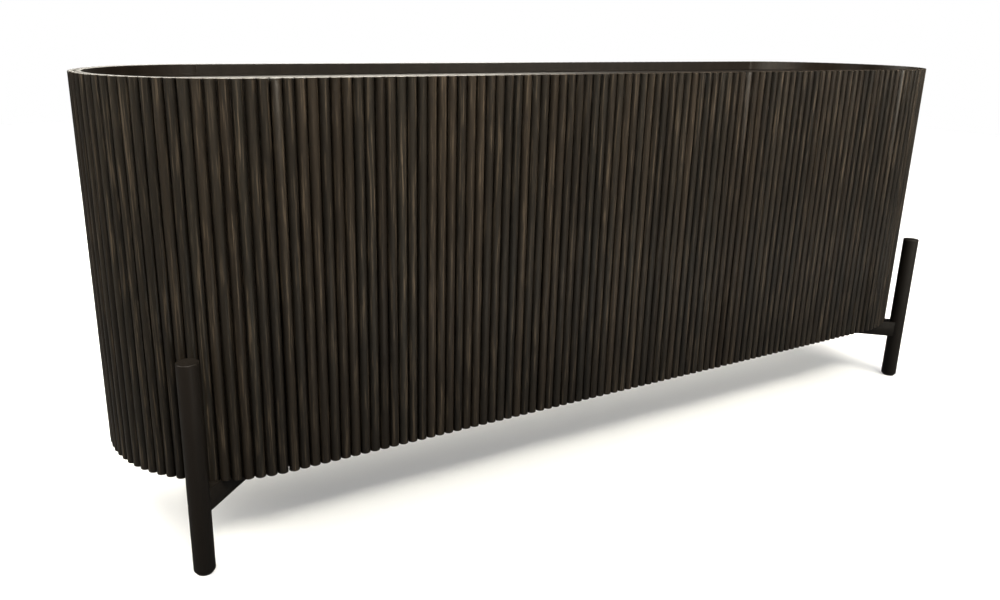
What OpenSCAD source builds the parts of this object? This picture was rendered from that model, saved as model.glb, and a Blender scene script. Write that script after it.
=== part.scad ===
// Sideboard with a reeded skin of half-round slats, round ends, a sunk top,
// three push-to-open doors and four round legs that stand outside the body.
// Origin: centre of the footprint on the floor. +X along the front, +Y to the back.

/* [Body] */
// Height of the whole sideboard
height = 800; // [720:10:900]
// Depth of the body over the slats
body_d = 497; // [450:1:560]
// Height of the body's underside above the floor
underside = 151; // [120:1:220]
// Depth of the tray in the top
tray_depth = 21; // [12:1:40]
// Thickness of the boards
board_t = 18; // [16:1:22]
// Thickness of the curved walls, the back and the door leaves
wall_t = 11; // [10:0.5:14]
// Thickness of the rail behind the tops of the doors
rail_t = 10; // [8:1:14]

/* [Slats] */
// Width of one half-round slat
slat_w = 18.4; // [16:0.1:20]
// Gap between two slats on the flat back
slat_gap = 0.3; // [0.2:0.1:0.6]
// Slats on each door
door_slats = 27; // [22:1:32]

/* [Doors] */
// Gap between two doors
door_gap = 2; // [1.6:0.1:4]
// Gap between a door leaf and the carcass behind it
door_reveal = 2; // [1.6:0.1:3]
// How far a latch plunger can be pushed in
latch_travel = 3; // [2:0.5:4]

/* [Legs] */
// Diameter of a leg
leg_d = 36; // [30:1:44]
// Height of a leg
leg_top = 375; // [300:5:450]
// Gap between a leg and the slats
leg_gap = 11.5; // [8:0.5:20]
// Direction of a leg from the centre of the round end, from the X axis
leg_angle = 57.5; // [50:0.5:65]
// Direction of the arm from the leg, from the X axis
arm_angle = 43; // [38:1:50]
// Width of an arm
arm_w = 32; // [24:1:34]
// Height of an arm
arm_h = 38; // [28:1:44]
// Length of an arm from the axis of its leg
arm_l = 250; // [200:5:280]

/* [Hidden] */
door_count = 3;
slat_r = slat_w / 2;
slat_pitch = slat_w + slat_gap;
straight_l = door_count * door_slats * slat_pitch;
end_x = straight_l / 2;
base_r = body_d / 2 - slat_r;
inner_r = base_r - wall_t;
glue = 0.05;
joint_gap = 0.2;
end_slats = floor(PI * base_r / slat_pitch);
end_step = 180 / end_slats;
wall_h = height - underside;
tray_z = height - tray_depth;
carcass_y = -inner_r + door_reveal;
room_low = underside + board_t;
room_high = tray_z - board_t;
room_h = room_high - room_low;

door_w = straight_l / door_count;
door_pitch = (door_w - door_gap) / door_slats;
pivot_in = (door_gap + door_pitch) / 2;
free_x = door_gap / 2 - (door_w - pivot_in);
stile_out = 5;
divider_x = door_w / 2;
post_w = 36;
post_d = 30;
post_x = end_x - board_t / 2 + post_w / 2;
// Inner face of the divider or post that carries a hinge, from the pivot
face_x = pivot_in - board_t / 2;
// Front of the carcass, from the pivot
front_y = wall_t + door_reveal;

hinge_low = underside + 90;
hinge_high = height - 110;
tongue_t = 3;
tongue_r = 5;
pin_d = 5;
pin_h = 12;
washer_t = 1;
bush_d = 8;
bush_bore = 5.1;
notch_room = 0.5;
plate_t = 2.5;
plate_h = 50;
plate_l = 28;
screw_d = 3.5;
screw_head_d = 7;
screw_head_h = 2;
screw_l = 15;
foot_screw_l = 10;
screw_drop = 15;

latch_in = 18;
strike_x = latch_in - (door_w - pivot_in);
latch_z = room_high - 30;
latch_w = 12;
latch_h = 14;
latch_l = 58;
latch_bore = 8.1;
plunger_d = 8;
plunger_l = 38;
plunger_gap = 0.5;
foot_t = 3;
foot_h = 34;
strike_d = 16;
strike_t = 1.2;

shelf_z = room_low + room_h / 2 - board_t / 2;
shelf_front = -190;
shelf_gap = 2;
peg_d = 5;
peg_l = 16;
peg_front = -165;
peg_back = 165;

dowel_d = 8;
dowel_l = 32;
dowel_y = [-150, 0, 150];

glide_d = 28;
glide_t = 3;
leg_round = 4;
leg_bevel = 2;
leg_r = body_d / 2 + leg_gap + leg_d / 2;
leg_x = end_x + leg_r * cos(leg_angle);
leg_y = leg_r * sin(leg_angle);
stud_d = 8;
stud_in = 4;
stud_l = 52;
stud_z = [underside - arm_h + 11, underside - 11];
arm_screws = [70, 145, 225];
arm_screw_d = 5;
arm_screw_head_d = 10;
arm_screw_sink = 12;
arm_screw_l = 38;

slat_color = "#3a302a";
carcass_color = "#43352c";
leg_color = "#2a2522";
steel_color = "#8f9294";
brass_color = "#b08d4c";
felt_color = "#1d1d1d";
$fn = 64;

// Doors as [x of the middle of its opening, side of its hinge]
left_door = [-door_w, -1];
middle_door = [0, 1];
right_door = [door_w, 1];
doors = [left_door, middle_door, right_door];

// ---- shared shapes ----

// Flat plan with two round ends, h thick, standing on z = 0
module round_ended(r, h) {
    translate([-end_x, -r, 0]) cube([2 * end_x, 2 * r, h]);
    for (side = [-1, 1]) translate([side * end_x, 0, 0]) cylinder(r = r, h = h, $fn = 180);
}

// Everything behind the line where the doors close
module behind_doors(z, h) { front_strip(z, h, body_d); }

// A strip t deep along the front of the carcass
module front_strip(z, h, t) {
    translate([-end_x - body_d, carcass_y, z]) cube([2 * (end_x + body_d), t, h]);
}

// Half-round slat on its flat back, crest towards -Y
module half_round(h) {
    intersection() {
        cylinder(r = slat_r, h = h);
        translate([-slat_r, -slat_r, 0]) cube([2 * slat_r, slat_r, h]);
    }
}

// Places a child at a door's pivot axis, with +X towards the hinge edge and +Y inwards
module at_pivot(door) {
    translate([door[0] + door[1] * (door_w / 2 - pivot_in), -base_r, 0])
        mirror([door[1] < 0 ? 1 : 0, 0, 0]) children();
}

// Places a child at one leg, with +X along its arm
module at_leg(side_x, side_y) {
    mirror([side_x > 0 ? 1 : 0, 0, 0]) mirror([0, side_y > 0 ? 1 : 0, 0])
        translate([-leg_x, -leg_y, 0]) rotate([0, 0, arm_angle]) children();
}

module every_leg() {
    for (side_x = [-1, 1], side_y = [-1, 1]) at_leg(side_x, side_y) children();
}

// ---- carcass ----

module body_board(z) {
    intersection() {
        translate([0, 0, z]) round_ended(inner_r - joint_gap, board_t);
        behind_doors(z - 1, board_t + 2);
    }
}

// A dowel for every board end that meets a top or bottom board
module dowels() {
    for (z = [room_low, room_high]) {
        for (x = [-divider_x, divider_x], y = dowel_y) translate([x, y, z - dowel_l / 2])
            cylinder(d = dowel_d, h = dowel_l);
        for (side = [-1, 1]) translate([side * post_x, carcass_y + post_d / 2, z - dowel_l / 2])
            cylinder(d = dowel_d, h = dowel_l);
    }
}

module bottom_board() {
    color(carcass_color) difference() {
        body_board(underside);
        dowels();
        arm_bolt_shafts();
    }
}

module top_board() {
    color(carcass_color) difference() {
        body_board(tray_z - board_t);
        dowels();
        front_strip(room_high - 1, board_t + 2, rail_t + joint_gap);
    }
}

// Its ends are cut to the curve of the end walls
module tray_front_rail() {
    color(carcass_color) intersection() {
        translate([0, 0, room_high]) round_ended(inner_r - joint_gap, height - room_high);
        front_strip(room_high, height - room_high, rail_t);
    }
}

module end_wall() {
    color(carcass_color) translate([-end_x, 0, underside]) difference() {
        cylinder(r = base_r, h = wall_h, $fn = 180);
        translate([0, 0, -1]) cylinder(r = inner_r, h = wall_h + 2, $fn = 180);
        translate([0, -body_d, -1]) cube([body_d, 2 * body_d, wall_h + 2]);
    }
}

module end_slats_group() {
    color(slat_color) for (i = [0 : end_slats - 1])
        translate([-end_x, 0, underside]) rotate([0, 0, -(i + 0.5) * end_step])
            translate([0, -base_r - glue, 0]) half_round(wall_h);
}

module left_end_wall() { end_wall(); }
module right_end_wall() { mirror([1, 0, 0]) end_wall(); }
module left_end_slats() { end_slats_group(); }
module right_end_slats() { mirror([1, 0, 0]) end_slats_group(); }

module back_panel() {
    color(carcass_color) difference() {
        translate([-end_x, inner_r, underside]) cube([2 * end_x, wall_t, wall_h]);
        pegs();
    }
}

module back_slats() {
    color(slat_color) for (i = [0 : door_count * door_slats - 1])
        translate([-end_x + (i + 0.5) * slat_pitch, base_r, underside])
            rotate([0, 0, 180]) half_round(wall_h);
}

module divider(side) {
    color(carcass_color) difference() {
        translate([side * divider_x - board_t / 2, carcass_y, room_low])
            cube([board_t, inner_r - joint_gap - carcass_y, room_h]);
        dowels();
        pegs();
        fixed_hinges() plate_screws();
        each_latch() foot_screws();
    }
}

module left_divider() { divider(-1); }
module right_divider() { divider(1); }

module door_post(side) {
    color(carcass_color) difference() {
        translate([side * post_x - post_w / 2, carcass_y, room_low]) cube([post_w, post_d, room_h]);
        dowels();
        pegs();
        fixed_hinges() plate_screws();
    }
}

module left_door_post() { door_post(-1); }
module right_door_post() { door_post(1); }

module carcass_dowels() { color(carcass_color) dowels(); }

// ---- shelves ----

// Pegs stand half in the wood: four per shelf, in the faces that it lies between
module pegs() {
    peg_z = shelf_z - peg_d / 2;
    for (face = [-divider_x - board_t / 2, -divider_x + board_t / 2,
                 divider_x - board_t / 2, divider_x + board_t / 2], y = [peg_front, peg_back])
        translate([face - peg_l / 2, y, peg_z]) rotate([0, 90, 0])
            cylinder(d = peg_d, h = peg_l);
    for (side = [-1, 1]) {
        translate([side * post_x, carcass_y + post_d - peg_l / 2, peg_z])
            rotate([-90, 0, 0]) cylinder(d = peg_d, h = 2 * peg_l);
        translate([side * (end_x - post_w), inner_r - peg_l / 2, peg_z])
            rotate([-90, 0, 0]) cylinder(d = peg_d, h = peg_l);
    }
}

module shelf_pegs() { color(steel_color) pegs(); }

module end_shelf() {
    color(carcass_color) translate([0, 0, shelf_z]) intersection() {
        round_ended(inner_r - shelf_gap, board_t);
        translate([-end_x - body_d, shelf_front, -1])
            cube([end_x + body_d - divider_x - board_t / 2 - shelf_gap, body_d, board_t + 2]);
    }
}

module left_shelf() { end_shelf(); }
module right_shelf() { mirror([1, 0, 0]) end_shelf(); }

module middle_shelf() {
    half = divider_x - board_t / 2 - shelf_gap;
    color(carcass_color) translate([-half, shelf_front, shelf_z])
        cube([2 * half, inner_r - shelf_gap - shelf_front, board_t]);
}

// ---- hinges ----

module each_hinge() {
    for (z = [hinge_low, hinge_high]) translate([0, 0, z]) children();
}

module fixed_hinges() {
    for (door = doors) at_pivot(door) each_hinge() children();
}

module hinge_brackets() {
    color(steel_color) fixed_hinges() difference() {
        union() {
            cylinder(r = tongue_r, h = tongue_t);
            translate([-tongue_r, 0, 0]) cube([tongue_r, front_y + 8, tongue_t]);
            translate([-tongue_r, slat_r + 1, 0])
                cube([tongue_r + face_x, front_y + 7 - slat_r, tongue_t]);
            translate([face_x - plate_t, front_y, (tongue_t - plate_h) / 2])
                cube([plate_t, plate_l, plate_h]);
        }
        translate([0, 0, -1]) cylinder(d = pin_d, h = tongue_t + 2);
        plate_screws();
    }
}

// Countersunk screw along +Z, its head flush with z = 0
module screw(l) {
    cylinder(d = screw_d, h = l);
    cylinder(d1 = screw_head_d, d2 = screw_d, h = screw_head_h);
}

// Two screws through the plate into the divider or post
module plate_screws() {
    for (side = [-1, 1])
        translate([face_x - plate_t, front_y + plate_l * 0.6, tongue_t / 2 + side * screw_drop])
            rotate([0, 90, 0]) screw(screw_l);
}

module hinge_pins() {
    color(steel_color) fixed_hinges() cylinder(d = pin_d, h = tongue_t + washer_t + pin_h);
}

module hinge_washers() {
    color(brass_color) fixed_hinges() translate([0, 0, tongue_t]) difference() {
        cylinder(r = tongue_r, h = washer_t);
        translate([0, 0, -1]) cylinder(d = pin_d, h = washer_t + 2);
    }
}

module hinge_screws() { color(steel_color) fixed_hinges() plate_screws(); }

// ---- doors ----

module door_leaf(door) {
    leaf_x = free_x + joint_gap;
    color(carcass_color) at_pivot(door) difference() {
        translate([leaf_x, 0, underside]) cube([-door_pitch / 2 - leaf_x, wall_t, wall_h]);
        translate([strike_x, wall_t - strike_t, latch_z]) rotate([-90, 0, 0])
            cylinder(d = strike_d, h = strike_t + 1);
    }
}

// All the slats but the one on the stile
module door_slats_group(door) {
    color(slat_color) at_pivot(door) for (i = [1 : door_slats - 1])
        translate([-i * door_pitch, 0, underside]) half_round(wall_h);
}

// Last slat and the edge of the leaf in one piece, notched behind for the hinges
module door_stile(door) {
    notch_h = tongue_t + pin_h + 2 * washer_t + notch_room;
    color(slat_color) at_pivot(door) difference() {
        union() {
            translate([0, 0, underside]) half_round(wall_h);
            translate([-door_pitch / 2, 0, underside])
                cube([door_pitch / 2 + stile_out, wall_t, wall_h]);
        }
        each_hinge() {
            translate([0, 0, tongue_t + washer_t + notch_room - notch_h]) {
                cylinder(r = tongue_r + notch_room, h = notch_h);
                translate([-tongue_r - notch_room, -notch_room, 0])
                    cube([tongue_r + notch_room + slat_w, body_d, notch_h]);
            }
            translate([0, 0, tongue_t]) cylinder(d = bush_d, h = washer_t + notch_room + pin_h + 1);
        }
    }
}

module door_bushes(door) {
    color(brass_color) at_pivot(door) each_hinge()
        translate([0, 0, tongue_t + washer_t + notch_room]) difference() {
            cylinder(d = bush_d, h = pin_h + 1);
            translate([0, 0, -1]) cylinder(d = bush_bore, h = pin_h + 3);
        }
}

module door_strike(door) {
    color(steel_color) at_pivot(door) translate([strike_x, wall_t - strike_t, latch_z])
        rotate([-90, 0, 0]) cylinder(d = strike_d, h = strike_t);
}

module left_door_leaf() { door_leaf(left_door); }
module left_door_slats() { door_slats_group(left_door); }
module left_door_stile() { door_stile(left_door); }
module left_door_bushes() { door_bushes(left_door); }
module left_door_strike() { door_strike(left_door); }
module middle_door_leaf() { door_leaf(middle_door); }
module middle_door_slats() { door_slats_group(middle_door); }
module middle_door_stile() { door_stile(middle_door); }
module middle_door_bushes() { door_bushes(middle_door); }
module middle_door_strike() { door_strike(middle_door); }
module right_door_leaf() { door_leaf(right_door); }
module right_door_slats() { door_slats_group(right_door); }
module right_door_stile() { door_stile(right_door); }
module right_door_bushes() { door_bushes(right_door); }
module right_door_strike() { door_strike(right_door); }

// ---- push latches ----

// Places a child at a latch's axis, at the mouth of its housing, with +Y inwards
module at_latch(door) {
    at_pivot(door) translate([strike_x, front_y + 1, latch_z]) children();
}

module each_latch() {
    for (door = doors) at_latch(door) children();
}

// Two screws through the housing's foot into the divider
module foot_screws() {
    for (side = [-1, 1]) translate([foot_t - latch_in + board_t / 2, latch_l / 2, side * foot_h / 3])
        rotate([0, -90, 0]) screw(foot_screw_l);
}

module latch_housings() {
    foot_x = board_t / 2 - latch_in;
    color(felt_color) each_latch() difference() {
        union() {
            translate([foot_x + foot_t, 0, -latch_h / 4])
                cube([latch_w / 2 - foot_x - foot_t, latch_l, latch_h / 2]);
            rotate([-90, 0, 0]) cylinder(d = latch_w, h = latch_l);
            translate([foot_x, latch_l / 4, -foot_h / 2]) cube([foot_t, latch_l / 2, foot_h]);
        }
        translate([0, -1, 0]) rotate([-90, 0, 0]) cylinder(d = latch_bore, h = latch_l - 3);
        foot_screws();
    }
}

module latch_screws() { color(steel_color) each_latch() foot_screws(); }

module latch_plunger(door) {
    color("white") at_latch(door) translate([0, plunger_gap - door_reveal - 1, 0])
        rotate([-90, 0, 0]) cylinder(d = plunger_d, h = plunger_l);
}

module left_latch_plunger() { latch_plunger(left_door); }
module middle_latch_plunger() { latch_plunger(middle_door); }
module right_latch_plunger() { latch_plunger(right_door); }

// ---- legs ----

// Turned post: rounded foot, small bevel round the top
module leg(side_x, side_y) {
    r = leg_d / 2;
    color(leg_color) difference() {
        at_leg(side_x, side_y) rotate_extrude() union() {
            translate([0, glide_t]) square([r - leg_round, leg_round]);
            translate([0, glide_t + leg_round]) square([r, leg_top - glide_t - leg_round - leg_bevel]);
            intersection() {
                translate([r - leg_round, glide_t + leg_round]) circle(r = leg_round);
                translate([r - leg_round, glide_t]) square([leg_round, leg_round]);
            }
            polygon([[0, leg_top - leg_bevel], [r, leg_top - leg_bevel],
                     [r - leg_bevel, leg_top], [0, leg_top]]);
        }
        at_leg(side_x, side_y) studs();
    }
}

module studs() {
    for (z = stud_z) translate([stud_in, 0, z]) rotate([0, 90, 0])
        cylinder(d = stud_d, h = stud_l);
}

module arm(side_x, side_y) {
    color(leg_color) difference() {
        at_leg(side_x, side_y) difference() {
            translate([0, -arm_w / 2, underside - arm_h]) cube([arm_l, arm_w, arm_h]);
            cylinder(d = leg_d, h = height);
            studs();
        }
        arm_bolt_shafts();
    }
}

// Screws up through an arm into the bottom board, with sunk heads
module arm_bolt_shafts() {
    every_leg() for (x = arm_screws) translate([x, 0, underside - arm_h]) {
        translate([0, 0, -1]) cylinder(d = arm_screw_head_d, h = arm_screw_sink + 1);
        translate([0, 0, arm_screw_sink]) cylinder(d = arm_screw_d, h = arm_screw_l);
    }
}

module front_left_leg() { leg(-1, -1); }
module front_right_leg() { leg(1, -1); }
module rear_left_leg() { leg(-1, 1); }
module rear_right_leg() { leg(1, 1); }
module front_left_arm() { arm(-1, -1); }
module front_right_arm() { arm(1, -1); }
module rear_left_arm() { arm(-1, 1); }
module rear_right_arm() { arm(1, 1); }
module leg_studs() { color(steel_color) every_leg() studs(); }

module arm_bolts() {
    head_h = 4;
    color(steel_color) every_leg() for (x = arm_screws)
        translate([x, 0, underside - arm_h + arm_screw_sink]) {
            translate([0, 0, -head_h]) cylinder(d = arm_screw_head_d - 0.4, h = head_h);
            cylinder(d = arm_screw_d, h = arm_screw_l);
        }
}

module leg_glides() { color(felt_color) every_leg() cylinder(d = glide_d, h = glide_t); }

bottom_board();
top_board();
tray_front_rail();
left_end_wall();
right_end_wall();
left_end_slats();
right_end_slats();
back_panel();
back_slats();
left_divider();
right_divider();
left_door_post();
right_door_post();
left_shelf();
middle_shelf();
right_shelf();
shelf_pegs();
carcass_dowels();
hinge_brackets();
hinge_pins();
hinge_washers();
hinge_screws();
latch_housings();
latch_screws();
front_left_leg();
front_right_leg();
rear_left_leg();
rear_right_leg();
front_left_arm();
front_right_arm();
rear_left_arm();
rear_right_arm();
leg_studs();
arm_bolts();
leg_glides();
left_door_leaf();
left_door_slats();
left_door_stile();
left_door_bushes();
left_door_strike();
middle_door_leaf();
middle_door_slats();
middle_door_stile();
middle_door_bushes();
middle_door_strike();
right_door_leaf();
right_door_slats();
right_door_stile();
right_door_bushes();
right_door_strike();
left_latch_plunger();
middle_latch_plunger();
right_latch_plunger();
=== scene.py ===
import math

import bmesh
import bpy
from mathutils import Matrix, Vector


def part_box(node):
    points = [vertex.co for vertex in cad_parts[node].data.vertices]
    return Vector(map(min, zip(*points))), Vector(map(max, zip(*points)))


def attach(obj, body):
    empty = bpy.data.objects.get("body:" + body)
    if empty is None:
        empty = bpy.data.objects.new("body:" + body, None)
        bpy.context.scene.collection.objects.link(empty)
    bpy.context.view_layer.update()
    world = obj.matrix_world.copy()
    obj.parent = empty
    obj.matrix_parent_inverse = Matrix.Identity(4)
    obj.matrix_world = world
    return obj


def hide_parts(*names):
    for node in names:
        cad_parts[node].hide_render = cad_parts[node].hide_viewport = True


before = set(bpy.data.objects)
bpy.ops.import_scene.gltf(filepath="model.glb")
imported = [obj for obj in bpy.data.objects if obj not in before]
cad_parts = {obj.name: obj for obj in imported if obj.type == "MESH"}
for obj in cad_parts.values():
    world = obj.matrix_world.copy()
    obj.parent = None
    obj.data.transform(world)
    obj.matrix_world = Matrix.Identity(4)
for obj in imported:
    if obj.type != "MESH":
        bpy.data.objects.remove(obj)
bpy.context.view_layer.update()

scene = bpy.context.scene
scene.view_settings.view_transform = "Standard"
print("frame loaded:", len(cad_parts), "parts")


# camera

cameraView = {
    "place": (-1.1371, -1.5018, 0.8743),
    "turnDegrees": 30.26,  # to the right of straight at the back
    "downDegrees": 16.80,
    "rollDegrees": 1.01,
    "lens": 30.41,
    "sensorWidth": 36,
    "shiftX": 0.0267,
    "shiftY": -0.0159,
}


def addCamera(v):
    data = bpy.data.cameras.new("camera")
    data.lens = v["lens"]
    data.sensor_width = v["sensorWidth"]
    data.shift_x = v["shiftX"]
    data.shift_y = v["shiftY"]
    data.dof.use_dof = False
    camera = bpy.data.objects.new("camera", data)
    scene.collection.objects.link(camera)
    turn = Matrix.Rotation(-math.radians(v["turnDegrees"]), 4, "Z")
    tilt = Matrix.Rotation(math.radians(90 - v["downDegrees"]), 4, "X")
    roll = Matrix.Rotation(math.radians(v["rollDegrees"]), 4, "Z")
    camera.matrix_world = Matrix.Translation(v["place"]) @ turn @ tilt @ roll
    scene.camera = camera


addCamera(cameraView)


# light and floor

lightSetup = {
    "backgroundColor": (1.0, 1.0, 1.0),
    "fillColor": (0.80, 0.88, 1.0),
    "fillStrength": 0.015,
    "floorColor": (0.90, 0.90, 0.895),
    "floorBounce": (0.05, 0.05, 0.05),  # what the pieces get back from the floor
    "floorSize": 14.0,
    "floorRough": 0.8,
    "sunHeight": 4.0,
    "boxes": [
        # name, place, point it faces, size, beam in degrees, watts, colour
        ("frontGrid", (-0.1, -1.3, 1.6), (-0.1, -0.24, 0.6), (2.9, 0.4), 60, 8.5, (1.0, 0.95, 0.84)),
        ("frontStrip", (0.1, -0.85, 1.35), (0.1, -0.24, 0.78), (2.6, 0.2), 50, 3, (1.0, 0.95, 0.84)),
        ("lowStrip", (0.3, -1.3, 0.1), (0.3, -0.24, 0.3), (2.4, 0.12), 90, 0.7, (1.0, 0.95, 0.84)),
        ("farBox", (-0.7, -3.2, 2.2), (-0.2, -0.24, 0.6), (1.2, 0.8), 180, 3, (1.0, 0.95, 0.84)),
        ("frontBox", (1.9, -2.6, 1.5), (0.95, -0.24, 0.6), (1.2, 1.2), 50, 3.5, (1.0, 0.96, 0.86)),
        ("leftBox", (-3.0, 0.5, 1.9), (-0.9, 0.0, 0.5), (1.4, 1.6), 180, 26, (1.0, 0.95, 0.84)),
        ("leftLamp", (-2.2, 0.0, 1.5), (-0.95, 0.0, 0.7), (0.6, 0.6), 180, 6.5, (1.0, 0.95, 0.84)),
        ("cornerBox", (-3.4, -1.6, 1.9), (-0.9, 0.0, 0.6), (1.4, 1.6), 180, 4.5, (1.0, 0.95, 0.84)),
        ("topBox", (0.0, 0.0, 6.5), (0.0, 0.0, 0.0), (7.0, 7.0), 180, 14, (1.0, 0.97, 0.90)),
        ("rearBox", (0.6, 3.4, 2.4), (0.0, 0.2, 0.5), (3.0, 1.6), 180, 130, (1.0, 0.95, 0.84)),
    ],
    # even light on the floor alone: the larger part without shadows, for a pale, quiet floor
    "floorWash": 2.75,
    "floorShade": 0.95,
    "shadeSoftness": 120,  # degrees
}


def addLights(v):
    # the camera sees a white backdrop; the pieces get a dim, even fill from it
    world = bpy.data.worlds.new("studio")
    world.use_nodes = True
    tree = world.node_tree
    fill = tree.nodes["Background"]
    fill.inputs["Color"].default_value = (*v["fillColor"], 1)
    fill.inputs["Strength"].default_value = v["fillStrength"]
    backdrop = tree.nodes.new("ShaderNodeBackground")
    backdrop.inputs["Color"].default_value = (*v["backgroundColor"], 1)
    ray = tree.nodes.new("ShaderNodeLightPath")
    mix = tree.nodes.new("ShaderNodeMixShader")
    tree.links.new(ray.outputs["Is Camera Ray"], mix.inputs[0])
    tree.links.new(fill.outputs[0], mix.inputs[1])
    tree.links.new(backdrop.outputs[0], mix.inputs[2])
    tree.links.new(mix.outputs[0], tree.nodes["World Output"].inputs["Surface"])
    scene.world = world
    for box in v["boxes"]:
        addBox(*box)


def addBox(name, place, target, size, beam, watts, color):
    data = bpy.data.lights.new(name, "AREA")
    data.shape = "RECTANGLE"
    data.size, data.size_y = size
    data.spread = math.radians(beam)
    data.energy = watts
    data.color = color
    lamp = bpy.data.objects.new(name, data)
    lamp.location = place
    lamp.rotation_euler = (Vector(target) - Vector(place)).to_track_quat("-Z", "Y").to_euler()
    lamp.visible_camera = False
    scene.collection.objects.link(lamp)


def addFloor(v):
    half = v["floorSize"] / 2
    bm = bmesh.new()
    corners = [bm.verts.new((x * half, y * half, 0)) for x, y in ((-1, -1), (1, -1), (1, 1), (-1, 1))]
    bm.faces.new(corners)
    floor = linkMesh("floor", bm)
    material = bpy.data.materials.new("paleFloor")
    material.use_nodes = True
    tree = material.node_tree
    shader = tree.nodes["Principled BSDF"]
    ray = tree.nodes.new("ShaderNodeLightPath")
    color = blendColor(tree, ray.outputs["Is Camera Ray"], v["floorBounce"], v["floorColor"])
    tree.links.new(color, shader.inputs["Base Color"])
    shader.inputs["Roughness"].default_value = v["floorRough"]
    wear(floor, material)
    floorAlone = bpy.data.collections.new("floorAlone")
    floorAlone.objects.link(floor)
    for name, strength, blockers in (("floorWash", v["floorWash"], floorAlone),
                                     ("floorShade", v["floorShade"], None)):
        data = bpy.data.lights.new(name, "SUN")
        data.energy = strength
        data.angle = math.radians(v["shadeSoftness"])
        lamp = bpy.data.objects.new(name, data)
        lamp.location = (0, 0, v["sunHeight"])
        lamp.light_linking.receiver_collection = floorAlone
        lamp.light_linking.blocker_collection = blockers
        scene.collection.objects.link(lamp)


# small helpers

def linkMesh(name, bm):
    mesh = bpy.data.meshes.new(name)
    bm.to_mesh(mesh)
    bm.free()
    piece = bpy.data.objects.new(name, mesh)
    scene.collection.objects.link(piece)
    return piece


def wear(piece, material):
    piece.data.materials.clear()
    piece.data.materials.append(material)


def softShade(mesh, degrees):
    bm = bmesh.new()
    bm.from_mesh(mesh)
    for face in bm.faces:
        face.smooth = True
    for edge in bm.edges:
        edge.smooth = len(edge.link_faces) == 2 and edge.calc_face_angle(0) < math.radians(degrees)
    bm.to_mesh(mesh)
    bm.free()


def settle(piece):
    # modifiers and node trees become a plain mesh
    bpy.context.view_layer.update()
    done = bpy.data.meshes.new_from_object(piece.evaluated_get(bpy.context.evaluated_depsgraph_get()))
    piece.modifiers.clear()
    piece.data = done
    return piece


def finish(piece, body, slot, *nodes):
    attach(piece, body)
    if nodes:
        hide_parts(*nodes)
    return piece


# shader groups shared by the materials

def newGroup(name, inputs, outputs):
    group = bpy.data.node_groups.new(name, "ShaderNodeTree")
    for label, kind, value in inputs:
        socket = group.interface.new_socket(name=label, in_out="INPUT", socket_type=kind)
        if value is not None:
            socket.default_value = value
    for label, kind in outputs:
        group.interface.new_socket(name=label, in_out="OUTPUT", socket_type=kind)
    return group, group.nodes.new("NodeGroupInput"), group.nodes.new("NodeGroupOutput")


def vectorMath(tree, operation, first, second):
    node = tree.nodes.new("ShaderNodeVectorMath")
    node.operation = operation
    for socket, value in zip(node.inputs, (first, second)):
        if isinstance(value, bpy.types.NodeSocket):
            tree.links.new(value, socket)
        else:
            socket.default_value = value
    return node.outputs["Vector"]


def scalarMath(tree, operation, *values, clamp=False):
    node = tree.nodes.new("ShaderNodeMath")
    node.operation = operation
    node.use_clamp = clamp
    for socket, value in zip(node.inputs, values):
        if isinstance(value, bpy.types.NodeSocket):
            tree.links.new(value, socket)
        else:
            socket.default_value = value
    return node.outputs["Value"]


def noise(tree, vector, scale, detail, roughness):
    node = tree.nodes.new("ShaderNodeTexNoise")
    node.inputs["Scale"].default_value = scale
    node.inputs["Detail"].default_value = detail
    node.inputs["Roughness"].default_value = roughness
    tree.links.new(vector, node.inputs["Vector"])
    return node.outputs["Fac"]


def between(tree, value, low, high, outLow=0.0, outHigh=1.0, smooth=False):
    node = tree.nodes.new("ShaderNodeMapRange")
    node.interpolation_type = "SMOOTHSTEP" if smooth else "LINEAR"
    for label, number in (("From Min", low), ("From Max", high), ("To Min", outLow), ("To Max", outHigh)):
        if isinstance(number, bpy.types.NodeSocket):
            tree.links.new(number, node.inputs[label])
        else:
            node.inputs[label].default_value = number
    tree.links.new(value, node.inputs["Value"])
    return node.outputs["Result"]


def blendColor(tree, amount, first, second):
    node = tree.nodes.new("ShaderNodeMix")
    node.data_type = "RGBA"
    sockets = [s for s in node.inputs if s.enabled]
    for socket, value in zip(sockets, (amount, first, second)):
        if isinstance(value, bpy.types.NodeSocket):
            tree.links.new(value, socket)
        elif isinstance(value, (int, float)):
            socket.default_value = value
        else:
            socket.default_value = (*value, 1)
    return [s for s in node.outputs if s.enabled][0]


addLights(lightSetup)
addFloor(lightSetup)


grainLook = {
    "figurePerMetre": 55.0,
    "streakPerMetre": 330.0,
    "porePerMetre": 1500.0,
    "boardStep": (7.3, 3.1, 11.9),  # metres from one board's grain to the next
    "contrast": (0.32, 0.68),
    "poreRange": (0.58, 0.70),
    "streakHeight": 0.35,
}


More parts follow.
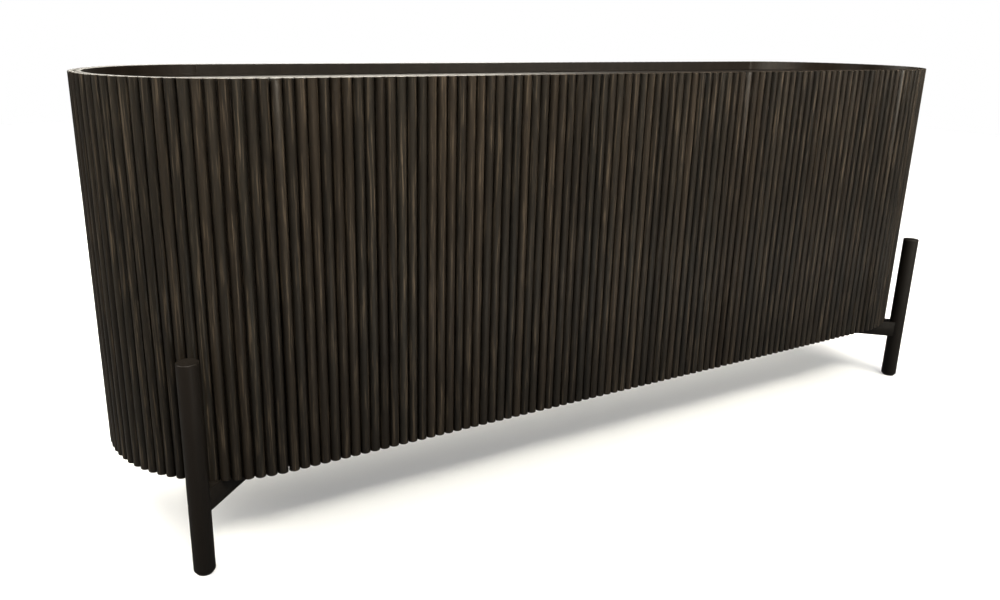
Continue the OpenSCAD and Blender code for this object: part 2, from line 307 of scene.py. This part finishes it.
def buildGrain(v):
    # wood grain: broad figure, fine streaks and open pores, drawn out along the board
    group, given, result = newGroup(
        "woodGrain",
        [("Position", "NodeSocketVector", None), ("Stretch", "NodeSocketVector", (1, 1, 0.02)),
         ("Board", "NodeSocketFloat", 0.0)],
        [("Figure", "NodeSocketFloat"), ("Streak", "NodeSocketFloat"), ("Pores", "NodeSocketFloat"),
         ("Height", "NodeSocketFloat")],
    )
    apart = group.nodes.new("ShaderNodeCombineXYZ")
    for axis, step in zip("XYZ", v["boardStep"]):
        group.links.new(scalarMath(group, "MULTIPLY", given.outputs["Board"], step), apart.inputs[axis])
    moved = vectorMath(group, "ADD", given.outputs["Position"], apart.outputs["Vector"])
    drawn = vectorMath(group, "MULTIPLY", moved, given.outputs["Stretch"])
    figure = noise(group, drawn, v["figurePerMetre"], 2.0, 0.5)
    streak = noise(group, drawn, v["streakPerMetre"], 3.0, 0.6)
    pore = noise(group, drawn, v["porePerMetre"], 1.0, 0.5)
    pores = between(group, pore, *v["poreRange"], smooth=True)
    group.links.new(between(group, figure, *v["contrast"]), result.inputs["Figure"])
    group.links.new(between(group, streak, *v["contrast"]), result.inputs["Streak"])
    group.links.new(pores, result.inputs["Pores"])
    raised = scalarMath(group, "MULTIPLY", streak, v["streakHeight"])
    group.links.new(scalarMath(group, "SUBTRACT", raised, pores), result.inputs["Height"])
    return group


dustLook = {"upward": (0.55, 0.95), "cloudPerMetre": 9.0, "cloudRange": (0.3, 0.75)}


def buildDust(v):
    # a faint film on whatever faces up, broken by a cloudy noise
    group, given, result = newGroup(
        "dustFilm",
        [("Position", "NodeSocketVector", None), ("Amount", "NodeSocketFloat", 0.5)],
        [("Mask", "NodeSocketFloat")],
    )
    geometry = group.nodes.new("ShaderNodeNewGeometry")
    split = group.nodes.new("ShaderNodeSeparateXYZ")
    group.links.new(geometry.outputs["Normal"], split.inputs["Vector"])
    upward = between(group, split.outputs["Z"], *v["upward"], smooth=True)
    billow = noise(group, given.outputs["Position"], v["cloudPerMetre"], 4.0, 0.6)
    cloud = between(group, billow, *v["cloudRange"])
    film = scalarMath(group, "MULTIPLY", upward, cloud)
    group.links.new(scalarMath(group, "MULTIPLY", film, given.outputs["Amount"]), result.inputs["Mask"])
    return group


def buildEdgeWear():
    # stain rubbed thin along an arris, in uneven stretches
    group, given, result = newGroup(
        "edgeWear",
        [("Position", "NodeSocketVector", None), ("Edge", "NodeSocketFloat", 0.0),
         ("Amount", "NodeSocketFloat", 0.5), ("Patch Size", "NodeSocketFloat", 60.0)],
        [("Mask", "NodeSocketFloat")],
    )
    patches = group.nodes.new("ShaderNodeTexNoise")
    patches.inputs["Detail"].default_value = 3.0
    group.links.new(given.outputs["Position"], patches.inputs["Vector"])
    group.links.new(given.outputs["Patch Size"], patches.inputs["Scale"])
    uneven = between(group, patches.outputs["Fac"], 0.35, 0.65, 0.25, 1.0)
    worn = scalarMath(group, "MULTIPLY", uneven, given.outputs["Edge"])
    group.links.new(scalarMath(group, "MULTIPLY", worn, given.outputs["Amount"]), result.inputs["Mask"])
    return group


grainGroup = buildGrain(grainLook)
dustGroup = buildDust(dustLook)
edgeGroup = buildEdgeWear()


def addGroup(tree, group):
    node = tree.nodes.new("ShaderNodeGroup")
    node.node_tree = group
    return node


def newMaterial(name):
    material = bpy.data.materials.new(name)
    material.use_nodes = True
    tree = material.node_tree
    coordinates = tree.nodes.new("ShaderNodeTexCoord")
    return material, tree, tree.nodes["Principled BSDF"], coordinates.outputs["Object"]


def attribute(tree, name):
    node = tree.nodes.new("ShaderNodeAttribute")
    node.attribute_name = name
    return node.outputs["Fac"]


woodDetail = {
    "tintRepeat": 7.0,  # how fast warm and cool boards take turns
    "streakRange": (0.62, 0.95),
    "poreRough": 0.15,
    "grooveRough": -0.14,  # the lacquer pools and dries smoother there
    "bumpDepth": 0.0004,
}


def buildWood(name, look, v=woodDetail):
    material, tree, shader, position = newMaterial(name)
    board = attribute(tree, "boardTone")
    grain = addGroup(tree, grainGroup)
    grain.inputs["Stretch"].default_value = look["stretch"]
    tree.links.new(position, grain.inputs["Position"])
    tree.links.new(board, grain.inputs["Board"])
    tint = scalarMath(tree, "FRACT", scalarMath(tree, "MULTIPLY", board, v["tintRepeat"]))
    stain = blendColor(tree, tint, look["warm"], look["cool"])
    figured = blendColor(tree, scalarMath(tree, "MULTIPLY", grain.outputs["Figure"], look["figure"]),
                         stain, look["dark"])
    thin = between(tree, grain.outputs["Streak"], *v["streakRange"], 0.0, look["streak"])
    streaked = blendColor(tree, thin, figured, look["pale"])
    pored = blendColor(tree, scalarMath(tree, "MULTIPLY", grain.outputs["Pores"], look["pores"]),
                       streaked, look["pore"])
    toned = tree.nodes.new("ShaderNodeVectorMath")
    toned.operation = "SCALE"
    tree.links.new(pored, toned.inputs["Vector"])
    spread = between(tree, board, 0.0, 1.0, 1.0 - look["toneSpread"], 1.0 + look["toneSpread"])
    # painted shade: the colour darkens towards the bottom of the groove between two slats, by the look's
    # groove amount
    paintedGrooveShade = between(tree, attribute(tree, "groove"), 0.0, 1.0, 1.0, 1.0 - look["groove"])
    tree.links.new(scalarMath(tree, "MULTIPLY", spread, paintedGrooveShade), toned.inputs["Scale"])
    edge = addGroup(tree, edgeGroup)
    edge.inputs["Amount"].default_value = look["edge"]
    tree.links.new(position, edge.inputs["Position"])
    tree.links.new(attribute(tree, "edgeWear"), edge.inputs["Edge"])
    worn = blendColor(tree, edge.outputs["Mask"], toned.outputs["Vector"], look["edgeColor"])
    dust = addGroup(tree, dustGroup)
    dust.inputs["Amount"].default_value = look["dust"]
    tree.links.new(position, dust.inputs["Position"])
    dusty = blendColor(tree, dust.outputs["Mask"], worn, look["dustColor"])
    tree.links.new(dusty, shader.inputs["Base Color"])
    rough = between(tree, grain.outputs["Streak"], 0.0, 1.0, *look["rough"])
    pitted = scalarMath(tree, "MULTIPLY_ADD", grain.outputs["Pores"], v["poreRough"], rough)
    smoother = scalarMath(tree, "MULTIPLY_ADD", attribute(tree, "groove"), v["grooveRough"], pitted)
    tree.links.new(smoother, shader.inputs["Roughness"])
    shader.inputs["Specular IOR Level"].default_value = look["gloss"]
    shader.inputs["Coat Weight"].default_value = look["coat"]
    shader.inputs["Coat Roughness"].default_value = look["coatRough"]
    bump = tree.nodes.new("ShaderNodeBump")
    bump.inputs["Strength"].default_value = look["bump"]
    bump.inputs["Distance"].default_value = v["bumpDepth"]
    tree.links.new(grain.outputs["Height"], bump.inputs["Height"])
    tree.links.new(bump.outputs["Normal"], shader.inputs["Normal"])
    return material


slatLook = {
    "stretch": (1.0, 1.0, 0.03),  # grain runs up the slat
    "warm": (0.0315, 0.0228, 0.0152),
    "cool": (0.0215, 0.0184, 0.0140),
    "dark": (0.0095, 0.0067, 0.0042),
    "pale": (0.1500, 0.1120, 0.0760),  # thin stain on the hard lines of the grain
    "pore": (0.0040, 0.0032, 0.0025),
    "toneSpread": 0.27,
    "figure": 0.55,
    "streak": 0.52,
    "pores": 0.7,
    "groove": 0.93,  # painted shade: the colour darkens down between two slats, where shade falls
    "edge": 0.6,
    "edgeColor": (0.0900, 0.0730, 0.0570),
    "dust": 0.0,
    "dustColor": (0.20, 0.19, 0.18),
    "rough": (0.36, 0.44),
    "gloss": 0.4,
    "coat": 0.03,
    "coatRough": 0.35,
    "bump": 0.6,
}
uprightLook = {
    **slatLook,
    "warm": (0.0300, 0.0205, 0.0140),
    "cool": (0.0240, 0.0185, 0.0145),
    "dark": (0.0130, 0.0098, 0.0074),
    "pale": (0.0500, 0.0360, 0.0240),
    "toneSpread": 0.0,
    "streak": 0.15,
    "pores": 0.45,
    "edge": 0.6,
    "rough": (0.32, 0.40),
    "gloss": 0.1,
    "bump": 0.2,
}
flatLook = {**uprightLook, "stretch": (0.03, 1.0, 1.0), "dust": 0.05, "rough": (0.42, 0.52)}  # grain along x
legLook = {
    **slatLook,
    "stretch": (1.0, 1.0, 0.02),
    "warm": (0.0165, 0.0125, 0.0095),
    "cool": (0.0130, 0.0115, 0.0095),
    "dark": (0.0080, 0.0066, 0.0054),
    "pale": (0.0400, 0.0300, 0.0210),
    "toneSpread": 0.0,
    "figure": 0.5,
    "streak": 0.12,
    "pores": 0.35,
    "edge": 0.5,
    "edgeColor": (0.0500, 0.0420, 0.0350),
    "rough": (0.40, 0.50),
    "gloss": 0.3,
    "bump": 0.25,
}
slatWood = buildWood("slatWood", slatLook)
uprightWood = buildWood("uprightWood", uprightLook)
flatWood = buildWood("flatWood", flatLook)
legWood = buildWood("legWood", legLook)


hardwareDetail = {
    "brushPerMetre": 900.0,
    "spotsPerMetre": 160.0,
    "mouldPerMetre": 1400.0,
    "cloudPerMetre": 60.0,
    "metalBump": 0.2,
    "plasticBump": 0.25,
    "bumpDepth": 0.0002,
}


def buildMetal(name, look, v=hardwareDetail):
    material, tree, shader, position = newMaterial(name)
    brushed = noise(tree, vectorMath(tree, "MULTIPLY", position, look["brush"]), v["brushPerMetre"], 2.0, 0.5)
    spots = noise(tree, position, v["spotsPerMetre"], 3.0, 0.6)
    tone = blendColor(tree, between(tree, spots, 0.35, 0.7), look["bright"], look["dull"])
    tree.links.new(tone, shader.inputs["Base Color"])
    tree.links.new(between(tree, brushed, 0.3, 0.7, *look["rough"]), shader.inputs["Roughness"])
    shader.inputs["Metallic"].default_value = 1.0
    bump = tree.nodes.new("ShaderNodeBump")
    bump.inputs["Strength"].default_value = v["metalBump"]
    bump.inputs["Distance"].default_value = v["bumpDepth"]
    tree.links.new(brushed, bump.inputs["Height"])
    tree.links.new(bump.outputs["Normal"], shader.inputs["Normal"])
    return material


def buildPlastic(name, look, v=hardwareDetail):
    material, tree, shader, position = newMaterial(name)
    mould = noise(tree, position, v["mouldPerMetre"], 2.0, 0.5)
    cloud = noise(tree, position, v["cloudPerMetre"], 3.0, 0.5)
    tone = blendColor(tree, between(tree, cloud, 0.3, 0.7), look["color"], look["worn"])
    tree.links.new(tone, shader.inputs["Base Color"])
    tree.links.new(between(tree, cloud, 0.3, 0.7, *look["rough"]), shader.inputs["Roughness"])
    bump = tree.nodes.new("ShaderNodeBump")
    bump.inputs["Strength"].default_value = v["plasticBump"]
    bump.inputs["Distance"].default_value = v["bumpDepth"]
    tree.links.new(mould, bump.inputs["Height"])
    tree.links.new(bump.outputs["Normal"], shader.inputs["Normal"])
    return material


zincSteel = buildMetal("zincSteel", {"bright": (0.62, 0.63, 0.65), "dull": (0.42, 0.43, 0.45),
                                     "rough": (0.28, 0.46), "brush": (1.0, 1.0, 0.1)})
turnedBrass = buildMetal("turnedBrass", {"bright": (0.72, 0.50, 0.20), "dull": (0.50, 0.34, 0.13),
                                         "rough": (0.22, 0.4), "brush": (1.0, 1.0, 0.1)})
blackPlastic = buildPlastic("blackPlastic", {"color": (0.018, 0.018, 0.018), "worn": (0.03, 0.03, 0.03),
                                             "rough": (0.45, 0.6)})
palePlastic = buildPlastic("palePlastic", {"color": (0.62, 0.61, 0.58), "worn": (0.52, 0.51, 0.48),
                                           "rough": (0.35, 0.5)})
beechWood = buildWood("beechWood", {**slatLook, "warm": (0.5, 0.34, 0.2), "cool": (0.45, 0.33, 0.2),
                                    "dark": (0.36, 0.24, 0.13), "pore": (0.2, 0.12, 0.07),
                                    "pale": (0.55, 0.40, 0.25), "toneSpread": 0.0, "coat": 0.0,
                                    "rough": (0.6, 0.75)})
print("materials built")


# slats: one half-round, set out in a row or round an end by a node tree

slatShape = {
    "sides": 14,
    "endRound": 0.0007,
    "inset": 0.00005,
    "depthSpread": 0.03,
    "smoothBelow": 40,  # degrees
    "groovePower": 0.6,
}


def grooveDepth(height, radius):
    # 1 between two slats, 0 on the crest: the mask for the painted shade between slats
    return min(1.0, max(0.0, 1.0 - height / radius)) ** slatShape["groovePower"]


def oneSlat(v, radius, low, high):
    # half-round with its flat back on y = 0 and its ends just broken
    bm = bmesh.new()
    # groove: where the painted shade between slats falls
    groove = bm.verts.layers.float.new("groove")
    worn = bm.loops.layers.float.new("edgeWear")
    rings = []
    for z, cut in ((low, v["endRound"]), (low + v["endRound"], 0), (high - v["endRound"], 0),
                   (high, v["endRound"])):
        r = radius - v["inset"] - cut
        ring = []
        for i in range(v["sides"] + 1):
            turn = math.pi * i / v["sides"]
            vert = bm.verts.new((-r * math.cos(turn), -r * math.sin(turn), z))
            vert[groove] = grooveDepth(-vert.co.y, radius)
            ring.append(vert)
        rings.append(ring)
    count = v["sides"] + 1
    for lower, upper in zip(rings, rings[1:]):
        for i in range(count):
            j = (i + 1) % count
            bm.faces.new((lower[i], lower[j], upper[j], upper[i]))
    bm.faces.new(list(reversed(rings[0])))
    bm.faces.new(rings[-1])
    bmesh.ops.recalc_face_normals(bm, faces=bm.faces)
    for face in bm.faces:
        height = max(vert.co.z for vert in face.verts) - min(vert.co.z for vert in face.verts)
        for loop in face.loops:
            loop[worn] = 1.0 if height < 2 * v["endRound"] else 0.0
    return bm


def geometryNode(tree, kind, **given):
    node = tree.nodes.new(kind)
    for label, value in given.items():
        name = label.replace("_", " ")
        if isinstance(value, bpy.types.NodeSocket):
            tree.links.new(value, node.inputs[name])
        else:
            node.inputs[name].default_value = value
    return node


def buildSlatTree():
    tree = bpy.data.node_groups.new("slatRun", "GeometryNodeTree")
    for label, kind in (("Slat", "NodeSocketGeometry"), ("Count", "NodeSocketInt"),
                        ("Start", "NodeSocketVector"), ("Step", "NodeSocketVector"),
                        ("Radius", "NodeSocketFloat"), ("First Turn", "NodeSocketFloat"),
                        ("Turn Step", "NodeSocketFloat"), ("Depth Spread", "NodeSocketFloat"),
                        ("Seed", "NodeSocketInt"), ("Material", "NodeSocketMaterial")):
        tree.interface.new_socket(name=label, in_out="INPUT", socket_type=kind)
    tree.interface.new_socket(name="Slats", in_out="OUTPUT", socket_type="NodeSocketGeometry")
    given = tree.nodes.new("NodeGroupInput").outputs
    result = tree.nodes.new("NodeGroupOutput")
    index = tree.nodes.new("GeometryNodeInputIndex").outputs["Index"]
    turn = scalarMath(tree, "MULTIPLY_ADD", index, given["Turn Step"], given["First Turn"])
    outX = scalarMath(tree, "MULTIPLY", scalarMath(tree, "SINE", turn), given["Radius"])
    outY = scalarMath(tree, "MULTIPLY", scalarMath(tree, "COSINE", turn),
                      scalarMath(tree, "MULTIPLY", given["Radius"], -1.0))
    outward = tree.nodes.new("ShaderNodeCombineXYZ")
    tree.links.new(outX, outward.inputs["X"])
    tree.links.new(outY, outward.inputs["Y"])
    along = tree.nodes.new("ShaderNodeVectorMath")
    along.operation = "SCALE"
    tree.links.new(given["Step"], along.inputs["Vector"])
    tree.links.new(index, along.inputs["Scale"])
    place = vectorMath(tree, "ADD", vectorMath(tree, "ADD", given["Start"], along.outputs["Vector"]),
                       outward.outputs["Vector"])
    points = geometryNode(tree, "GeometryNodePoints", Count=given["Count"], Position=place)
    facing = tree.nodes.new("ShaderNodeCombineXYZ")
    tree.links.new(turn, facing.inputs["Z"])
    depth = tree.nodes.new("FunctionNodeRandomValue")
    depth.data_type = "FLOAT"
    shallow = scalarMath(tree, "SUBTRACT", 1.0, given["Depth Spread"])
    floats = {s.identifier: s for s in depth.inputs}
    tree.links.new(shallow, floats["Min_001"])
    floats["Max_001"].default_value = 1.0
    tree.links.new(given["Seed"], floats["Seed"])
    size = tree.nodes.new("ShaderNodeCombineXYZ")
    size.inputs["X"].default_value = 1.0
    size.inputs["Z"].default_value = 1.0
    tree.links.new([s for s in depth.outputs if s.identifier == "Value_001"][0], size.inputs["Y"])
    rotation = tree.nodes.new("FunctionNodeEulerToRotation")
    tree.links.new(facing.outputs["Vector"], rotation.inputs[0])
    placed = geometryNode(tree, "GeometryNodeInstanceOnPoints", Points=points.outputs[0],
                          Instance=given["Slat"], Rotation=rotation.outputs[0],
                          Scale=size.outputs["Vector"])
    tone = tree.nodes.new("FunctionNodeRandomValue")
    tone.data_type = "FLOAT"
    toneSeed = scalarMath(tree, "ADD", given["Seed"], 5.0)  # so tone and depth don't go together
    tree.links.new(toneSeed, {s.identifier: s for s in tone.inputs}["Seed"])
    named = tree.nodes.new("GeometryNodeStoreNamedAttribute")
    named.data_type = "FLOAT"
    named.domain = "INSTANCE"
    named.inputs["Name"].default_value = "boardTone"
    tree.links.new(placed.outputs["Instances"], named.inputs["Geometry"])
    tree.links.new([s for s in tone.outputs if s.identifier == "Value_001"][0], named.inputs["Value"])
    real = geometryNode(tree, "GeometryNodeRealizeInstances", Geometry=named.outputs["Geometry"])
    dressed = geometryNode(tree, "GeometryNodeSetMaterial", Geometry=real.outputs["Geometry"],
                           Material=given["Material"])
    tree.links.new(dressed.outputs["Geometry"], result.inputs["Slats"])
    return tree


slatTree = buildSlatTree()


def slatRun(name, shape, radius, low, high, run):
    piece = linkMesh(name, oneSlat(shape, radius, low, high))
    softShade(piece.data, shape["smoothBelow"])
    wear(piece, slatWood)
    modifier = piece.modifiers.new("slatRun", "NODES")
    modifier.node_group = slatTree
    inputs = {s.name: s.identifier for s in slatTree.interface.items_tree if s.in_out == "INPUT"}
    for label, value in {"Depth Spread": shape["depthSpread"], "Material": slatWood, **run}.items():
        modifier[inputs[label]] = value
    return settle(piece)


wallLow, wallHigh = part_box("left_end_wall")
bodyLow, bodyHigh = wallLow.z, wallHigh.z
endX = -wallHigh.x  # centre of each round end
baseRadius = wallHigh.y
doorSlatLow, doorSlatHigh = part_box("left_door_slats")
slatRadius = doorSlatHigh.y - doorSlatLow.y
seeds = {"leftEnd": 3, "rightEnd": 11, "back": 23, "left": 31, "middle": 43, "right": 57}

endSlats = {"count": 40}
endTurn = math.pi / endSlats["count"]
for side, sign in (("left", -1), ("right", 1)):
    piece = slatRun(side + "EndSlats", slatShape, slatRadius, bodyLow, bodyHigh, {
        "Count": endSlats["count"],
        "Start": (sign * endX, 0.0, 0.0),
        "Step": (0.0, 0.0, 0.0),
        "Radius": baseRadius,
        "First Turn": sign * endTurn / 2,
        "Turn Step": sign * endTurn,
        "Seed": seeds[side + "End"],
    })
    finish(piece, "carcass", "slat_wood", side + "_end_slats")

backSlats = {"count": 81}
backPitch = 2 * endX / backSlats["count"]
piece = slatRun("backSlats", slatShape, slatRadius, bodyLow, bodyHigh, {
    "Count": backSlats["count"],
    "Start": (-endX + backPitch / 2, baseRadius, 0.0),
    "Step": (backPitch, 0.0, 0.0),
    "Radius": 0.0,
    "First Turn": math.pi,
    "Turn Step": 0.0,
    "Seed": seeds["back"],
})
finish(piece, "carcass", "slat_wood", "back_slats")

doorSlats = {"count": 26}
for side in ("left", "middle", "right"):
    low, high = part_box(side + "_door_slats")
    pitch = (high.x - low.x - 2 * slatRadius) / (doorSlats["count"] - 1)
    piece = slatRun(side + "DoorSlats", slatShape, slatRadius, bodyLow, bodyHigh, {
        "Count": doorSlats["count"],
        "Start": (low.x + slatRadius, high.y, 0.0),
        "Step": (pitch, 0.0, 0.0),
        "Radius": 0.0,
        "First Turn": 0.0,
        "Turn Step": 0.0,
        "Seed": seeds[side],
    })
    finish(piece, side + "_door", "slat_wood", side + "_door_slats")
print("slats set out")


# boards: the parts' own shapes with their sharp edges broken

boardEdge = {"width": 0.0008, "segments": 2, "angle": 40, "smoothBelow": 35, "toneStep": 0.37,
             "weld": 1e-6, "flat": 0.5}


def brokenEdges(node, name, material, width, tone):
    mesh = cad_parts[node].data.copy()
    bm = bmesh.new()
    bm.from_mesh(mesh)
    bmesh.ops.remove_doubles(bm, verts=bm.verts, dist=boardEdge["weld"])
    bmesh.ops.dissolve_limit(bm, angle_limit=math.radians(boardEdge["flat"]), verts=bm.verts,
                             edges=bm.edges)
    piece = linkMesh(name, bm)
    layer = piece.data.attributes.new("boardTone", "FLOAT", "POINT")
    layer.data.foreach_set("value", [tone] * len(piece.data.vertices))
    bevel = piece.modifiers.new("brokenEdges", "BEVEL")
    bevel.width = width
    bevel.segments = boardEdge["segments"]
    bevel.limit_method = "ANGLE"
    bevel.angle_limit = math.radians(boardEdge["angle"])
    bevel.material = 1  # marks the bevel's own faces
    wear(piece, material)
    piece.data.materials.append(material)
    settle(piece)
    markEdges(piece.data)
    if material == slatWood:
        # the stile's half-round gets the same groove mask for the painted shade between slats
        layer = piece.data.attributes.new("groove", "FLOAT", "POINT")
        layer.data.foreach_set("value", [grooveDepth(-baseRadius - vert.co.y, slatRadius)
                                         for vert in piece.data.vertices])
    softShade(piece.data, boardEdge["smoothBelow"])
    wear(piece, material)
    return piece


def markEdges(mesh):
    layer = mesh.attributes.new("edgeWear", "FLOAT", "CORNER")
    worn = [0.0] * len(mesh.loops)
    for polygon in mesh.polygons:
        for corner in polygon.loop_indices:
            worn[corner] = float(polygon.material_index == 1)
        polygon.material_index = 0
    layer.data.foreach_set("value", worn)


boards = [
    # node, body, slot, material
    ("bottom_board", "carcass", "carcass_wood", flatWood),
    ("top_board", "carcass", "carcass_wood", flatWood),
    ("tray_front_rail", "carcass", "carcass_wood", flatWood),
    ("left_end_wall", "carcass", "carcass_wood", uprightWood),
    ("right_end_wall", "carcass", "carcass_wood", uprightWood),
    ("back_panel", "carcass", "carcass_wood", uprightWood),
    ("left_divider", "carcass", "carcass_wood", uprightWood),
    ("right_divider", "carcass", "carcass_wood", uprightWood),
    ("left_door_post", "carcass", "carcass_wood", uprightWood),
    ("right_door_post", "carcass", "carcass_wood", uprightWood),
    ("left_shelf", "carcass", "carcass_wood", flatWood),
    ("middle_shelf", "carcass", "carcass_wood", flatWood),
    ("right_shelf", "carcass", "carcass_wood", flatWood),
    ("left_door_leaf", "left_door", "carcass_wood", uprightWood),
    ("middle_door_leaf", "middle_door", "carcass_wood", uprightWood),
    ("right_door_leaf", "right_door", "carcass_wood", uprightWood),
    ("left_door_stile", "left_door", "slat_wood", slatWood),
    ("middle_door_stile", "middle_door", "slat_wood", slatWood),
    ("right_door_stile", "right_door", "slat_wood", slatWood),
    ("front_left_arm", "carcass", "leg_wood", legWood),
    ("front_right_arm", "carcass", "leg_wood", legWood),
    ("rear_left_arm", "carcass", "leg_wood", legWood),
    ("rear_right_arm", "carcass", "leg_wood", legWood),
]


def camel(node):
    words = node.split("_")
    return words[0] + "".join(w.capitalize() for w in words[1:])


for place, (node, body, slotName, material) in enumerate(boards):
    tone = (place * boardEdge["toneStep"]) % 1.0
    piece = brokenEdges(node, camel(node), material, boardEdge["width"], tone)
    finish(piece, body, slotName, node)
print("boards broken at the edges")


# legs: a turned post, from its profile

legShape = {"turns": 72, "footRound": 0.004, "topRound": 0.002, "roundSteps": 6, "smoothBelow": 35,
            "toneStep": 0.21}


def turnedPost(v, low, high):
    centre = (low + high) / 2
    radius = (high.x - low.x) / 2
    profile = [(0.0, low.z)]
    for i in range(v["roundSteps"] + 1):
        turn = math.pi / 2 * i / v["roundSteps"]
        profile.append((radius - v["footRound"] * (1 - math.sin(turn)),
                        low.z + v["footRound"] * (1 - math.cos(turn))))
    for i in range(v["roundSteps"] + 1):
        turn = math.pi / 2 * i / v["roundSteps"]
        profile.append((radius - v["topRound"] * (1 - math.cos(turn)),
                        high.z - v["topRound"] * (1 - math.sin(turn))))
    profile.append((0.0, high.z))
    bm = bmesh.new()
    loops = []
    for r, z in profile:
        if r == 0:
            loops.append([bm.verts.new((centre.x, centre.y, z))] * v["turns"])
            continue
        loop = []
        for i in range(v["turns"]):
            turn = 2 * math.pi * i / v["turns"]
            loop.append(bm.verts.new((centre.x + r * math.cos(turn), centre.y + r * math.sin(turn), z)))
        loops.append(loop)
    for lower, upper in zip(loops, loops[1:]):
        for i in range(v["turns"]):
            j = (i + 1) % v["turns"]
            corners = []
            for vert in (lower[i], lower[j], upper[j], upper[i]):
                if vert not in corners:
                    corners.append(vert)
            bm.faces.new(corners)
    bmesh.ops.recalc_face_normals(bm, faces=bm.faces)
    return bm


for place, corner in enumerate(("front_left", "front_right", "rear_left", "rear_right")):
    piece = linkMesh(camel(corner + "_leg"), turnedPost(legShape, *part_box(corner + "_leg")))
    layer = piece.data.attributes.new("boardTone", "FLOAT", "POINT")
    layer.data.foreach_set("value", [legShape["toneStep"] * place] * len(piece.data.vertices))
    softShade(piece.data, legShape["smoothBelow"])
    wear(piece, legWood)
    finish(piece, "carcass", "leg_wood", corner + "_leg")
print("legs turned")


# parts that keep their own shape and get a finish

finishes = [
    (zincSteel, ["shelf_pegs", "hinge_brackets", "hinge_pins", "hinge_screws", "latch_screws", "leg_studs",
                 "arm_bolts", "left_door_strike", "middle_door_strike", "right_door_strike"]),
    (turnedBrass, ["hinge_washers", "left_door_bushes", "middle_door_bushes", "right_door_bushes"]),
    (blackPlastic, ["latch_housings", "leg_glides"]),
    (palePlastic, ["left_latch_plunger", "middle_latch_plunger", "right_latch_plunger"]),
    (beechWood, ["carcass_dowels"]),
]
for material, nodes in finishes:
    for node in nodes:
        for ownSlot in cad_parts[node].material_slots:
            ownSlot.material = material
print("hardware finished")
